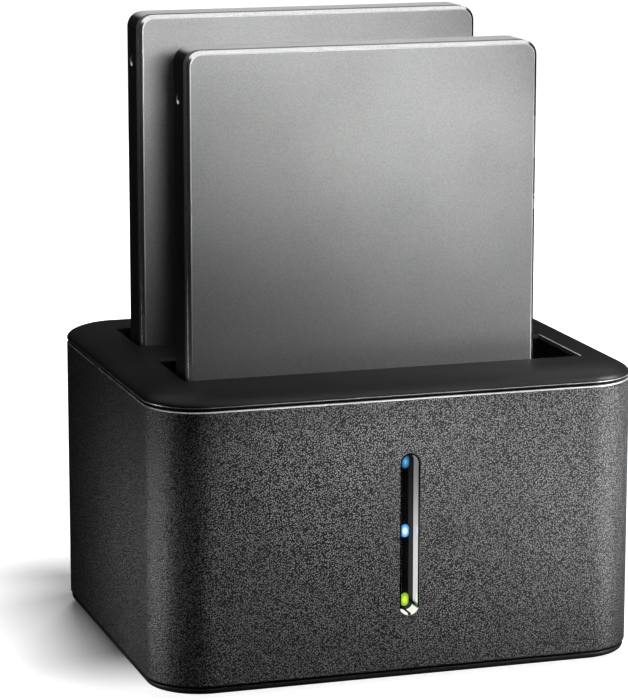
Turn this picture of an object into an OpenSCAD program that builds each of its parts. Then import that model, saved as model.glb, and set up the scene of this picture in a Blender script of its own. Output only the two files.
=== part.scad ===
// Two-bay docking station for 2.5-inch drives, with a drive standing in each bay.
// Millimetres. X runs to the right, Y to the back, and Z up from the desk under the middle of the dock.

/* [Body] */
// Outside width of the dock
body_w = 98; // [96:1:120]
// Outside depth of the dock
body_d = 82; // [81:1:110]
// Height from the desk to the top of the rim
body_h = 59.2; // [58:0.2:80]
// Radius of the upright corners
corner_r = 11; // [9:0.5:13]
// Wall of the main shell
shell_wall = 2.2; // [1.9:0.1:2.4]
// Shadow line between two casing pieces
seam = 0.4; // [0.2:0.1:0.8]
// Broken edge beside each shadow line
edge_break = 0.25; // [0.1:0.05:0.4]
// Ledges inside the shell, in from its wall
ledge_w = 1.6; // [1.2:0.1:1.8]
// Height of each ledge
ledge_h = 2; // [1.5:0.1:3]

/* [Top bezel] */
// Height of the rim above its shadow line
rim_h = 3; // [2.9:0.1:4]
// Fall of the rim's crown at its outer edge
rim_fall = 2.6; // [1:0.1:2.6]
// Width of the rim's crown
rim_crown = 8.8; // [5:0.1:9]
// Lead-in around each slot
slot_lead = 0.6; // [0.3:0.1:1.2]
// Depth of the skirt inside the shell
skirt_h = 4.6; // [4.2:0.1:6]
// Wall of the skirt
skirt_wall = 1.4; // [1:0.1:1.6]
// Clearance between a casing piece and the shell that it fits inside
case_fit = 0.2; // [0.1:0.05:0.3]

/* [Base] */
// Gap under the base tray that the feet leave
foot_rise = 1; // [0.6:0.1:2]
// Radius of a foot
foot_r = 5; // [4:0.5:5.5]
// Depth of the recess that holds a foot
foot_recess = 0.8; // [0.5:0.1:1]
// Clearance around a foot in its recess
foot_fit = 0.2; // [0.1:0.05:0.4]
// Distance of the feet from the middle, sideways
foot_x = 37; // [34:0.5:37]
// Distance of the feet from the middle, front to back
foot_y = 22; // [15:0.5:23]
// Height of the lip that shows under the shell
lip_h = 1.2; // [1:0.1:2]
// Setback of the lip from the shell's face
lip_inset = 0.3; // [0.2:0.1:0.6]
// Rounding of the lip's lower edge
lip_round = 0.9; // [0.4:0.1:0.9]
// Floor plate above the lip, inside the shell
plate_h = 1; // [0.8:0.1:2]

/* [Bays] */
// Length of a slot, side to side
slot_w = 79.2; // [76:0.2:79.2]
// Width of a slot, front to back
slot_t = 21; // [18:0.2:21.2]
// Bar between the two slots
slot_gap = 14; // [10:0.2:14]
// Depth of the front bay below the rim
bay_depth = 38.1; // [34:0.1:39]
// How much higher the rear drive stands than the front one
rear_step = 3.4; // [2:0.1:5]
// Wall of a bay well
well_wall = 1.4; // [1:0.1:1.5]
// Floor of a bay well
well_floor = 1.6; // [1.2:0.1:2]
// Flange of a bay well, out from its wall
flange_w = 2; // [1.5:0.1:2]
// Thickness of that flange
flange_h = 1.4; // [1:0.1:1.8]
// Height of the side guide above the floor of a bay
guide_h = 14; // [10:1:20]
// Thickness of the side guide
guide_t = 3; // [2:0.5:5]

/* [Inner frame] */
// Thickness of the frame's beam
frame_h = 1.8; // [1.4:0.1:2]
// Radius of a post
post_r = 3.2; // [3:0.1:3.4]
// Distance of the outer posts from the shell's wall
post_inset = 10.8; // [9:0.1:13]
// Clearance between inner pieces that pass each other
inner_fit = 0.4; // [0.3:0.05:0.5]
// Distance of the bezel screws from the middle, sideways
bezel_screw_x = 20; // [14:1:26]
// Radius of a bezel boss
bezel_boss_r = 2.5; // [2.2:0.1:2.6]

/* [Screws] */
// Radius of a screw head
head_r = 2.1; // [1.9:0.1:2.2]
// Height of a screw head
head_h = 1.4; // [1:0.1:1.6]
// Radius of a screw shank
shank_r = 1; // [0.8:0.05:1.1]
// Clearance around a shank in the hole that it passes
shank_fit = 0.3; // [0.2:0.05:0.4]
// Clearance around a shank in the hole that it bites
bite_fit = 0.05; // [0.02:0.01:0.1]
// Depth of a base screw's head below the tray
head_recess = 2; // [1.6:0.1:2.4]
// Web of the tray that a base screw's head bears on
screw_web = 1.6; // [1.2:0.1:2]
// Length of a base screw's shank
base_screw_l = 12; // [8:1:16]
// Length of a bezel screw's shank
bezel_screw_l = 4; // [3.5:0.1:4.4]
// Length of a board screw's shank
board_screw_l = 5; // [4:0.5:5.5]

/* [Light strip] */
// Sideways place of the strip
strip_x = 0.7; // [-10:0.1:10]
// Width of the recess
strip_w = 3.3; // [2.8:0.1:5]
// Length of the recess
strip_l = 31.2; // [28:0.2:34]
// Depth of the recess down to the lens
strip_depth = 3; // [2.6:0.1:3.6]
// Wall of the bright liner
liner_wall = 0.35; // [0.3:0.05:0.6]
// Flange of the liner behind the shell's wall
liner_flange = 1.2; // [0.8:0.1:2]
// Thickness of the lens
lens_t = 1.6; // [1.2:0.1:2]
// Distance between neighbouring lights
light_pitch = 13.6; // [10:0.1:13.8]
// Width of a light's window
window_w = 1.7; // [1:0.1:2.4]
// Height of a light's window
window_l = 2.6; // [2.5:0.1:4]
// Length of a light window behind the lens
window_tail = 0.5; // [0.2:0.1:1]
// Gap between a light window and its emitter
window_gap = 0.2; // [0.1:0.1:0.5]
// Width of the light board
light_board_w = 8; // [6:0.5:12]
// Thickness of the light board
light_board_t = 1; // [0.8:0.1:1.2]
// Width and height of an emitter
emitter_w = 2; // [1.6:0.1:3]
// Thickness of an emitter
emitter_t = 1; // [0.6:0.1:1.2]

/* [Main board] */
// Height of the standoffs under the board
standoff_h = 4.8; // [4:0.1:6]
// Radius of a standoff
standoff_r = 2.8; // [2.4:0.1:3.2]
// Distance of the standoffs from the sides of the board
standoff_inset = 5; // [4:0.1:7]
// Thickness of the board
board_t = 1.6; // [1:0.1:2]
// Gap between the board and the shell
board_gap = 2.8; // [2.5:0.1:3.5]

/* [Sockets and plugs] */
// Sideways place of the plug from the middle of the drive
plug_offset = 4.8; // [0:0.1:6]
// Width of the plug's housing
plug_w = 42; // [41:0.5:44]
// Thickness of the plug's housing
plug_t = 5; // [4.8:0.1:5]
// Height of the plug's housing
plug_h = 7.5; // [7:0.1:9]
// Wall of the plug's housing
plug_wall = 0.5; // [0.4:0.1:0.6]
// Depth of the plug's cavity
plug_depth = 6; // [5.8:0.1:6.4]
// Width of the signal tongue
signal_w = 10.4; // [9.5:0.1:11]
// Width of the power tongue
power_w = 20.6; // [19.6:0.1:21]
// Key gap between the two tongues
key_gap = 2.4; // [2:0.1:3]
// Thickness of a tongue
tongue_t = 1.2; // [1:0.1:1.3]
// Setback of the tongues inside the plug
tongue_setback = 0.6; // [0.4:0.1:1]
// Clearance around a tongue in its socket
tongue_fit = 0.35; // [0.3:0.05:0.4]
// Clearance around a socket's nose in the plug
nose_fit = 0.35; // [0.3:0.05:0.4]
// Height of a nose above the end of the drive
nose_h = 5.2; // [4.6:0.1:5.4]
// Width of a socket's body
socket_w = 44; // [43:0.5:50]
// Thickness of a socket's body
socket_t = 7; // [6:0.5:8]
// Contacts on the signal tongue
signal_count = 7; // [5:1:7]
// Contacts on the power tongue
power_count = 15; // [12:1:15]
// Distance between neighbouring contacts
contact_pitch = 1.27; // [1.1:0.01:1.3]
// Width of a contact
contact_w = 0.8; // [0.6:0.05:0.9]
// Thickness of a plug's contact
contact_t = 0.1; // [0.05:0.05:0.2]
// Length of a contact
contact_l = 4.4; // [3:0.1:4.6]
// Thickness of a socket's contact
spring_t = 0.3; // [0.2:0.05:0.35]
// Clearance around a socket's contact in its groove
spring_fit = 0.05; // [0.03:0.01:0.08]

/* [Drives] */
// Width of a drive
drive_w = 69.85; // [68:0.05:69.85]
// Thickness of a drive
drive_t = 9.5; // [9:0.1:12]
// Length of a drive
drive_l = 100; // [96:0.1:110]
// Radius of a drive's corners
drive_r = 3; // [2:0.1:4]
// Gap between a drive and the front of its slot
face_gap = 0.4; // [0.3:0.05:0.8]
// Gap between a drive and the left end of its slot
side_gap = 0.5; // [0.35:0.05:0.5]
// Gap between a drive and the floor of its bay
seat_gap = 0.3; // [0.2:0.05:0.5]
// Thickness of the front cover
cover_t = 2.6; // [2.2:0.1:2.8]
// Skin of the front cover
cover_skin = 1.4; // [1:0.1:1.6]
// Chamfer around the front cover
cover_chamfer = 0.7; // [0.4:0.05:0.9]
// Side wall of a drive's case
drive_wall = 1.5; // [1.2:0.1:1.8]
// Back wall of a drive's case
drive_back = 1; // [0.8:0.1:1]
// Radius of a threaded hole's wall
thread_r = 1.25; // [1.1:0.05:1.3]
// Depth of a threaded hole in the side
side_hole_l = 2.6; // [2:0.1:2.6]
// Depth of a threaded hole in the back
back_hole_l = 2.4; // [1.8:0.1:2.4]
// Distance of the side holes from the back of the drive
side_hole_y = 3; // [2.8:0.1:3.2]
// Distance of the back holes from the drive's edge
back_hole_x = 4.07; // [4:0.01:4.2]
// Height of the lower holes above the plug end
low_hole_z = 14; // [13:0.1:15]
// Distance of the upper holes from the far end of the drive
high_hole_inset = 9.4; // [9:0.1:12]
// Height of the boss around the holes
hole_boss_h = 6; // [5:0.1:6.5]
// Depth of that boss in from the side wall
hole_boss_d = 4; // [3.9:0.1:4.5]
// Gap between that boss and the cover
hole_boss_gap = 0.4; // [0.2:0.1:0.6]
// Length of the drive's board
drive_board_l = 58; // [50:1:70]
// Gap between the drive's board and the bosses
drive_board_gap = 0.6; // [0.4:0.1:1]
// Thickness of the drive's board
drive_board_t = 1; // [0.8:0.1:1.2]
// Gap between the drive's board and its case's back wall
drive_board_rise = 0.9; // [0.7:0.1:1]
// Radius of a post under the drive's board
drive_post_r = 2; // [1.6:0.1:2.4]
// Distance of those posts from the sides of the board
drive_post_x = 4; // [3:0.5:6]
// Distance of those posts from the ends of the board
drive_post_z = 5; // [4:0.5:6]
// Radius of a drive screw's shank
drive_screw_r = 0.6; // [0.5:0.05:0.7]
// Radius of a drive screw's head
drive_head_r = 1.5; // [1.2:0.1:1.8]
// Height of a drive screw's head
drive_head_h = 0.7; // [0.5:0.1:1]
// Thickness of the drive's chips
drive_chip_t = 1; // [0.6:0.1:1.4]

/* [Back panel] */
// Depth of the panel's recess in the shell
panel_depth = 1.1; // [0.9:0.1:1.2]
// Width of the panel
panel_w = 70; // [68:1:74]
// Clearance around each piece in the panel
panel_fit = 0.3; // [0.2:0.05:0.4]
// Clearance below and above the pieces in the panel
panel_margin = 2; // [1.5:0.1:2.5]
// Sideways place of the USB socket
usb_x = -22; // [-24:0.5:-16]
// Width of the USB socket
usb_w = 12; // [11:0.1:12.2]
// Height of the USB socket
usb_h = 12.6; // [11:0.1:12.8]
// Length of the USB socket
usb_l = 16; // [14:0.1:17]
// Cut corners of the USB socket
usb_cut = 2; // [1.2:0.1:3]
// Sheet of the USB socket's shell
usb_wall = 0.5; // [0.4:0.05:0.7]
// Width of the USB tongue
usb_tongue_w = 5.6; // [5:0.1:6]
// Thickness of the USB tongue
usb_tongue_t = 3.2; // [2.8:0.1:3.4]
// Height of the USB tongue above the board
usb_tongue_z = 3.5; // [3:0.1:3.8]
// Width of the bar above the USB tongue
usb_bar_w = 5; // [4.5:0.1:5.5]
// Thickness of that bar
usb_bar_t = 1.6; // [1.4:0.1:1.8]
// Height of that bar above the board
usb_bar_z = 8.6; // [7.6:0.1:8.8]
// Setback of the USB tongue and the inlet's pin from the panel
port_setback = 1.5; // [1:0.1:2]
// Sideways place of the power inlet
inlet_x = -4; // [-6:0.5:-2]
// Width of the power inlet's body
inlet_w = 9.2; // [9:0.1:10]
// Length of the power inlet's body
inlet_l = 13.2; // [12:0.1:15]
// Height of the power inlet's body
inlet_h = 11; // [10.5:0.1:12]
// Radius of the power inlet's collar
inlet_collar_r = 3.9; // [3.7:0.1:4.2]
// Radius of the power inlet's bore
inlet_r = 3.1; // [2.8:0.1:3.2]
// Depth of the power inlet's bore
inlet_depth = 9; // [8:0.1:10]
// Radius of the power inlet's pin
inlet_pin_r = 1; // [0.8:0.05:1.3]
// Sideways place of the clone button
clone_x = 10; // [9:0.5:12]
// Radius of the clone button
clone_r = 2.6; // [2.2:0.1:3]
// Sideways place of the power button
power_x = 25; // [22:0.5:27]
// Radius of the power button
power_r = 3.6; // [3:0.1:3.8]
// Height of the buttons above the board
button_z = 5.4; // [5.2:0.1:6]
// How far a button stands out of the panel
button_out = 0.8; // [0.7:0.05:0.9]
// Travel of a button
button_travel = 0.5; // [0.3:0.05:0.6]
// Collar that keeps a button in
button_collar = 0.8; // [0.6:0.1:1]
// Radius of a plunger
plunger_r = 1.3; // [1:0.05:1.5]
// Clearance around a plunger in its switch
plunger_fit = 0.1; // [0.06:0.01:0.1]
// Length of a plunger
plunger_l = 4; // [3.4:0.1:4.5]
// Room behind a plunger that is pressed in
plunger_room = 0.4; // [0.3:0.1:0.6]
// Gap between a button that is pressed in and its switch
switch_gap = 0.6; // [0.4:0.1:0.8]
// Width of a switch
switch_w = 7; // [6:0.1:8]
// Length of a switch
switch_l = 5; // [4.5:0.1:6]

/* [Hidden] */
$fn = 64;

// How far a cut runs past the face that it opens
cut = 0.5;
// How far a joined shape sinks into its neighbour
sink = 0.2;

// Heights of the casing, from the desk up
lip_top = foot_rise + lip_h;
plate_top = lip_top + plate_h;
shell_low = lip_top + seam;
shell_top = body_h - rim_h - seam;
bezel_low = body_h - rim_h;
screw_seat = foot_rise + head_recess + head_h;
boss_top = screw_seat + screw_web;
skirt_low = bezel_low - skirt_h;
frame_top = bezel_low - flange_h;
frame_low = frame_top - frame_h;

// Inside of the shell
inner_w = body_w - 2 * shell_wall;
inner_d = body_d - 2 * shell_wall;
inner_r = corner_r - shell_wall;
skirt_in = case_fit + skirt_wall;
frame_in = skirt_in + inner_fit;

// Bays
front_mid = -(slot_gap + slot_t) / 2;
rear_mid = -front_mid;
front_floor = body_h - bay_depth;
rear_floor = front_floor + rear_step;
well_w = slot_w + 2 * well_wall;
well_t = slot_t + 2 * well_wall;
well_apart = slot_gap - 2 * well_wall;
post_x = inner_w / 2 - post_inset;

// Drives, by the corner at their front, left and plug end
drive_x = side_gap - slot_w / 2;
front_drive_y = front_mid - slot_t / 2 + face_gap;
rear_drive_y = rear_mid - slot_t / 2 + face_gap;
front_seat = front_floor + seat_gap;
rear_seat = rear_floor + seat_gap;
high_hole_z = drive_l - high_hole_inset;
plug_x = drive_w / 2 + plug_offset;
plug_y = drive_t - drive_back - plug_t / 2;
drive_board_back = drive_t - drive_back - drive_board_rise;
drive_board_front = drive_board_back - drive_board_t;
drive_board_x = drive_wall + hole_boss_d + drive_board_gap;
drive_board_top = plug_h + drive_board_l;
drive_posts = [
    [drive_board_x + drive_post_x, drive_board_top - drive_post_z],
    [drive_w - drive_board_x - drive_post_x, drive_board_top - drive_post_z],
    [drive_board_x + drive_post_x, plug_h + drive_post_z]
];

// Sockets
nose_w = plug_w - 2 * plug_wall - 2 * nose_fit;
nose_t = plug_t - 2 * plug_wall - 2 * nose_fit;
socket_x = drive_x + plug_x;
front_socket_y = front_drive_y + plug_y;
rear_socket_y = rear_drive_y + plug_y;
tongue_run = signal_w + key_gap + power_w;
signal_mid = (signal_w - tongue_run) / 2;
power_mid = (tongue_run - power_w) / 2;
tongues = [[signal_mid, signal_w, signal_count], [power_mid, power_w, power_count]];

// Boards
board_low = plate_top + standoff_h;
board_top = board_low + board_t;
board_w = inner_w - 2 * board_gap;
board_d = inner_d - 2 * board_gap;
standoff_x = board_w / 2 - standoff_inset;
standoff_y = board_d / 2 - standoff_inset;
board_mid = (front_socket_y + rear_socket_y) / 2;

// Light strip
strip_z = (shell_low + shell_top) / 2;
strip_front = -body_d / 2;
lens_front = strip_front + strip_depth;
lens_back = lens_front + lens_t;
light_board_y = lens_back + window_tail + window_gap + emitter_t;
lights_z = [strip_z + light_pitch, strip_z, strip_z - light_pitch];

// Back panel
panel_y = body_d / 2 - panel_depth;
wall_back = body_d / 2 - shell_wall;
button_mid = board_top + button_z;
button_seat = wall_back - case_fit;
collar_front = button_seat - button_collar;
switch_back = collar_front - button_travel - switch_gap;
panel_low = board_top - panel_margin;
panel_high = board_top + usb_h + panel_margin;

// Colours of the materials
casing_grey = [0.16, 0.16, 0.17];
bezel_grey = [0.22, 0.22, 0.23];
inner_black = [0.06, 0.06, 0.07];
rubber_black = [0.1, 0.1, 0.1];
chrome = [0.85, 0.86, 0.88];
steel = [0.65, 0.66, 0.68];
gold = [0.85, 0.68, 0.3];
board_green = [0.08, 0.32, 0.16];
blue_light = [0.15, 0.4, 1];
green_light = [0.55, 0.95, 0.1];
drive_dark = [0.3, 0.3, 0.32];
drive_silver = [0.62, 0.62, 0.63];

// Copies at the four corners of a rectangle
module at_corners(x, y) {
    for (sx = [-1, 1], sy = [-1, 1]) translate([sx * x, sy * y, 0]) children();
}

// Rectangle with round corners, on its middle
module round_rect(w, d, r) {
    square([w - 2 * r, d], center = true);
    square([w, d - 2 * r], center = true);
    at_corners(w / 2 - r, d / 2 - r) circle(r);
}

// Block on its middle, standing on its base
module block(w, d, h) {
    translate([-w / 2, -d / 2, 0]) cube([w, d, h]);
}

// Copies on the posts, which stand in line under the bar between the slots
module at_posts() {
    for (x = [-post_x, 0, post_x]) translate([x, 0, 0]) children();
}

// Copies on the bezel screws, in the same line
module at_bezel_screws() {
    for (x = [-bezel_screw_x, bezel_screw_x]) translate([x, 0, 0]) children();
}

// Room for the two wells, between two heights
module well_room(low, high) {
    for (mid = [front_mid, rear_mid]) translate([0, mid, low])
        block(well_w + 2 * inner_fit, well_t + 2 * inner_fit, high - low);
}

// Round-cornered slab, standing on its base
module slab(w, d, r, h) {
    linear_extrude(h) round_rect(w, d, r);
}

// Outline in X and Z, run from y0 back to y1
module along_y(y0, y1) {
    translate([0, y1, 0]) rotate([90, 0, 0]) linear_extrude(y1 - y0) children();
}

// Outline in Y and Z, run from x0 right to x1
module along_x(x0, x1) {
    translate([x0, 0, 0]) rotate([90, 0, 90]) linear_extrude(x1 - x0) children();
}

// Round-cornered slab with the child's half section carried all the way round its edge
module edged_slab(w, d, r, h) {
    at_corners(w / 2 - r, d / 2 - r) rotate_extrude() children();
    for (turn = [0, 180]) {
        rotate(turn) translate([w / 2 - r, 0, 0])
            rotate([90, 0, 0]) linear_extrude(d - 2 * r, center = true) children();
        rotate(turn + 90) translate([d / 2 - r, 0, 0])
            rotate([90, 0, 0]) linear_extrude(w - 2 * r, center = true) children();
    }
    block(w - 2 * r, d - 2 * r, h);
}

// Half section with a chamfer at its lower and upper edge
module chamfered_section(r, h, low, high) {
    polygon([[0, 0], [r - low, 0], [r, low], [r, h - high], [r - high, h], [0, h]]);
}

// Half section with a chamfer at its lower edge and a crown that falls to its outer edge
module crowned_section(r, h, low, fall, crown) {
    arc = [for (turn = [0:7.5:90]) [r - crown * (1 - cos(turn)), h - fall * (1 - sin(turn))]];
    polygon(concat([[0, 0], [r - low, 0], [r, low]], arc, [[0, h]]));
}

// Half section with a round lower edge
module keel_section(r, h, round) {
    chamfered_section(r, h, round, 0);
    translate([r - round, round]) intersection() {
        circle(round);
        mirror([0, 1]) square(round);
    }
}

// Ring inside the shell's wall, between two heights
module wall_ring(low, high, from_wall, thick) {
    out = 2 * from_wall;
    in = out + 2 * thick;
    translate([0, 0, low]) difference() {
        slab(inner_w - out, inner_d - out, inner_r - from_wall, high - low);
        translate([0, 0, -cut])
            slab(inner_w - in, inner_d - in, inner_r - from_wall - thick, high - low + 2 * cut);
    }
}

// Upright capsule outline
module capsule(w, l) {
    square([w, l - w], center = true);
    for (end = [-1, 1]) translate([0, end * (l - w) / 2]) circle(w / 2);
}

// Capsule of the light strip, grown by a margin, between two depths
module strip_capsule(y0, y1, grow) {
    along_y(y0, y1) translate([strip_x, strip_z]) capsule(strip_w + 2 * grow, strip_l + 2 * grow);
}

// Pan-head screw with its head's seat at the origin and its shank upwards
module screw(length, radius = shank_r, head_radius = head_r, head_height = head_h) {
    translate([0, 0, -sink]) cylinder(h = length + sink, r = radius);
    translate([0, 0, -head_height]) cylinder(h = head_height, r = head_radius);
}

// Base tray: lip, floor plate, screw bosses and board standoffs
module base_tray() {
    color(casing_grey) difference() {
        union() {
            translate([0, 0, foot_rise])
                edged_slab(body_w - 2 * lip_inset, body_d - 2 * lip_inset, corner_r - lip_inset, lip_h)
                    keel_section(corner_r - lip_inset, lip_h, lip_round);
            translate([0, 0, lip_top - sink])
                slab(inner_w - 2 * case_fit, inner_d - 2 * case_fit, inner_r - case_fit, plate_h + sink);
            at_posts() translate([0, 0, foot_rise + lip_round])
                cylinder(h = boss_top - foot_rise - lip_round, r = post_r);
            at_corners(standoff_x, standoff_y) translate([0, 0, lip_top])
                cylinder(h = board_low - lip_top, r = standoff_r);
        }
        at_corners(foot_x, foot_y) translate([0, 0, foot_rise - cut])
            cylinder(h = foot_recess + cut, r = foot_r + foot_fit);
        at_posts() {
            translate([0, 0, foot_rise - cut])
                cylinder(h = screw_seat - foot_rise + cut, r = head_r + shank_fit);
            cylinder(h = boss_top + cut, r = shank_r + shank_fit);
        }
        at_corners(standoff_x, standoff_y)
            translate([0, 0, board_top - board_screw_l - cut])
                cylinder(h = board_screw_l + 2 * cut, r = shank_r + bite_fit);
    }
}

// Rubber feet, stuck in the tray's recesses
module rubber_feet() {
    color(rubber_black) at_corners(foot_x, foot_y) cylinder(h = foot_rise + foot_recess, r = foot_r);
}

// Screws through the tray into the inner frame's posts
module base_screws() {
    color(steel) at_posts() translate([0, 0, screw_seat]) screw(base_screw_l);
}

// Main shell: sleeve with a ledge at each end, the light strip's opening and the back panel
module main_shell() {
    shell_h = shell_top - shell_low;
    color(casing_grey) difference() {
        union() {
            difference() {
                translate([0, 0, shell_low])
                    edged_slab(body_w, body_d, corner_r, shell_h)
                        chamfered_section(corner_r, shell_h, edge_break, edge_break);
                translate([0, 0, shell_low - cut]) slab(inner_w, inner_d, inner_r, shell_h + 2 * cut);
            }
            wall_ring(plate_top, plate_top + ledge_h, -sink, ledge_w + sink);
            difference() {
                wall_ring(skirt_low - ledge_h, skirt_low, -sink, ledge_w + sink);
                well_room(skirt_low - ledge_h - cut, skirt_low + cut);
            }
        }
        strip_capsule(strip_front - cut, strip_front + shell_wall + cut, liner_wall + bite_fit);
        translate([-panel_w / 2, panel_y, panel_low])
            cube([panel_w, panel_depth + cut, panel_high - panel_low]);
        along_y(wall_back - cut, panel_y + cut) {
            polygon(usb_outline(-panel_fit));
            translate([inlet_x, board_top + inlet_h / 2]) circle(inlet_collar_r + panel_fit);
            translate([clone_x, button_mid]) circle(clone_r + panel_fit);
            translate([power_x, button_mid]) circle(power_r + panel_fit);
        }
    }
}

// Funnel of a slot's lead-in, upside down pyramid cut flat at both ends
module slot_funnel() {
    reach = slot_lead + cut;
    intersection() {
        along_x(-slot_w, slot_w) funnel_outline(slot_t / 2, reach);
        along_y(-slot_t, slot_t) funnel_outline(slot_w / 2, reach);
    }
}

module funnel_outline(half, reach) {
    polygon([[-half, -slot_lead], [half, -slot_lead], [half + reach, cut], [-half - reach, cut]]);
}

// Top bezel: rim with two slots, a skirt inside the shell and bosses for its screws
module top_bezel() {
    color(bezel_grey) difference() {
        union() {
            translate([0, 0, bezel_low]) edged_slab(body_w, body_d, corner_r, rim_h)
                crowned_section(corner_r, rim_h, edge_break, rim_fall, rim_crown);
            difference() {
                wall_ring(skirt_low, bezel_low + sink, case_fit, skirt_wall);
                well_room(skirt_low - cut, bezel_low);
            }
            at_bezel_screws() translate([0, 0, frame_top])
                cylinder(h = flange_h + sink, r = bezel_boss_r);
        }
        for (mid = [front_mid, rear_mid]) {
            translate([0, mid, bezel_low - cut]) block(slot_w, slot_t, rim_h + 2 * cut);
            translate([0, mid, body_h]) slot_funnel();
        }
        at_bezel_screws() translate([0, 0, frame_top - cut])
            cylinder(h = bezel_screw_l - frame_h + 2 * cut, r = shank_r + bite_fit);
    }
}

// Inner frame: beam between the wells that carries them and the bezel, on three posts
module inner_frame() {
    color(inner_black) difference() {
        union() {
            translate([0, 0, frame_low])
                block(inner_w - 2 * frame_in, well_apart - 2 * inner_fit, frame_h);
            at_posts() translate([0, 0, boss_top])
                cylinder(h = frame_low + sink - boss_top, r = post_r);
        }
        at_bezel_screws() translate([0, 0, frame_low - cut])
            cylinder(h = frame_h + 2 * cut, r = shank_r + shank_fit);
        at_posts() translate([0, 0, screw_seat])
            cylinder(h = base_screw_l + cut, r = shank_r + bite_fit);
    }
}

// Screws up through the frame's beam into the bezel
module bezel_screws() {
    color(steel) at_bezel_screws() translate([0, 0, frame_low]) screw(bezel_screw_l);
}

// Bay well: open box under a slot, with an opening for the socket's nose and a guide beside the drive
module bay_well(mid, floor_z, drive_y) {
    guide_x = drive_x + drive_w + side_gap;
    color(inner_black) {
        difference() {
            union() {
                translate([0, mid, floor_z - well_floor])
                    block(well_w, well_t, bezel_low - floor_z + well_floor);
                intersection() {
                    translate([0, mid, frame_top])
                        block(well_w + 2 * flange_w, well_t + 2 * flange_w, flange_h);
                    translate([0, 0, frame_top - cut])
                        slab(inner_w - 2 * frame_in, inner_d - 2 * frame_in, inner_r - frame_in,
                            flange_h + 2 * cut);
                }
            }
            translate([0, mid, floor_z]) block(slot_w, slot_t, bezel_low - floor_z + cut);
            translate([socket_x, drive_y + plug_y, floor_z - well_floor - cut])
                block(nose_w + 2 * inner_fit, nose_t + 2 * inner_fit, well_floor + 2 * cut);
        }
        translate([guide_x, drive_y + drive_t / 2 - guide_t / 2, floor_z - sink])
            cube([slot_w / 2 + sink - guide_x, guide_t, guide_h + sink]);
    }
}

module front_bay_well() {
    bay_well(front_mid, front_floor, front_drive_y);
}

module rear_bay_well() {
    bay_well(rear_mid, rear_floor, rear_drive_y);
}

// Light liner: bright tube that lines the recess, with a flange behind the shell's wall
module light_liner() {
    flange_front = strip_front + shell_wall;
    color(chrome) difference() {
        union() {
            strip_capsule(strip_front + edge_break, lens_front, liner_wall);
            strip_capsule(flange_front, lens_front, liner_wall + liner_flange);
        }
        strip_capsule(strip_front - cut, lens_front + cut, 0);
    }
}

// Windows of the lights, by their place in the strip
module window_outline(index, grow) {
    translate([strip_x, lights_z[index]]) capsule(window_w + 2 * grow, window_l + 2 * grow);
}

// Light lens: glossy strip behind the liner, with a hole for each light
module light_lens() {
    color(inner_black) difference() {
        strip_capsule(lens_front, lens_back, liner_wall + liner_flange);
        for (index = [0:2]) along_y(lens_front - cut, lens_back + cut) window_outline(index, bite_fit);
    }
}

module light_window(index) {
    along_y(lens_front, lens_back + window_tail) window_outline(index, 0);
}

module front_bay_light() {
    color(blue_light) light_window(0);
}

module rear_bay_light() {
    color(blue_light) light_window(1);
}

module power_light() {
    color(green_light) light_window(2);
}

// Light board: stands on the main board behind the lens
module light_board() {
    board_high = strip_z + strip_l / 2 + liner_flange;
    color(board_green) translate([strip_x - light_board_w / 2, light_board_y, board_top])
        cube([light_board_w, light_board_t, board_high - board_top]);
}

module light_emitters() {
    color([0.9, 0.88, 0.75]) for (z = lights_z)
        translate([strip_x - emitter_w / 2, light_board_y - emitter_t, z - emitter_w / 2])
            cube([emitter_w, emitter_t, emitter_w]);
}

// Main board: on the tray's standoffs, with a hole around each post
module main_board() {
    color(board_green) translate([0, 0, board_low]) linear_extrude(board_t) difference() {
        round_rect(board_w, board_d, inner_r - board_gap);
        at_posts() circle(post_r + 2 * inner_fit);
        at_corners(standoff_x, standoff_y) circle(shank_r + shank_fit);
    }
}

module board_screws() {
    color(steel) at_corners(standoff_x, standoff_y) translate([0, 0, board_top]) mirror([0, 0, 1])
        screw(board_screw_l);
}

// Places of a row of contacts, from its middle
function contact_places(count) = [for (i = [0:count - 1]) (i - (count - 1) / 2) * contact_pitch];

// SATA socket: body with a nose that stands up through the bay's floor into the drive's plug
module sata_socket(mid, low, floor_z, seat) {
    shoulder = floor_z - well_floor - inner_fit;
    nose_top = seat + nose_h;
    slot_half = tongue_t / 2 + tongue_fit;
    groove = spring_t + spring_fit;
    color(inner_black) translate([socket_x, mid, 0]) difference() {
        union() {
            translate([0, 0, low]) block(socket_w, socket_t, shoulder - low);
            translate([0, 0, shoulder - sink]) block(nose_w, nose_t, nose_top - shoulder + sink);
        }
        for (tongue = tongues) translate([tongue[0], 0, seat]) {
            block(tongue[1] + 2 * tongue_fit, 2 * slot_half, nose_h + cut);
            for (place = contact_places(tongue[2]))
                translate([place, -slot_half - groove / 2, 0])
                    block(contact_w + 2 * spring_fit, groove + sink, contact_l + spring_fit);
        }
    }
}

// Spring contacts in the grooves of a socket
module socket_contacts(mid, seat) {
    back = -tongue_t / 2 - tongue_fit - spring_fit - spring_t / 2;
    color(gold) translate([socket_x, mid + back, seat]) for (tongue = tongues)
        for (place = contact_places(tongue[2]))
            translate([tongue[0] + place, 0, 0]) block(contact_w, spring_t, contact_l);
}

module front_socket() {
    sata_socket(front_socket_y, board_top, front_floor, front_seat);
}

module front_socket_contacts() {
    socket_contacts(front_socket_y, front_seat);
}

module rear_socket() {
    sata_socket(rear_socket_y, board_top + rear_step, rear_floor, rear_seat);
}

module rear_socket_contacts() {
    socket_contacts(rear_socket_y, rear_seat);
}

// Riser that lifts the rear socket to the higher rear bay
module rear_socket_riser() {
    color(inner_black) translate([socket_x, rear_socket_y, board_top]) block(socket_w, socket_t, rear_step);
}

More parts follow.
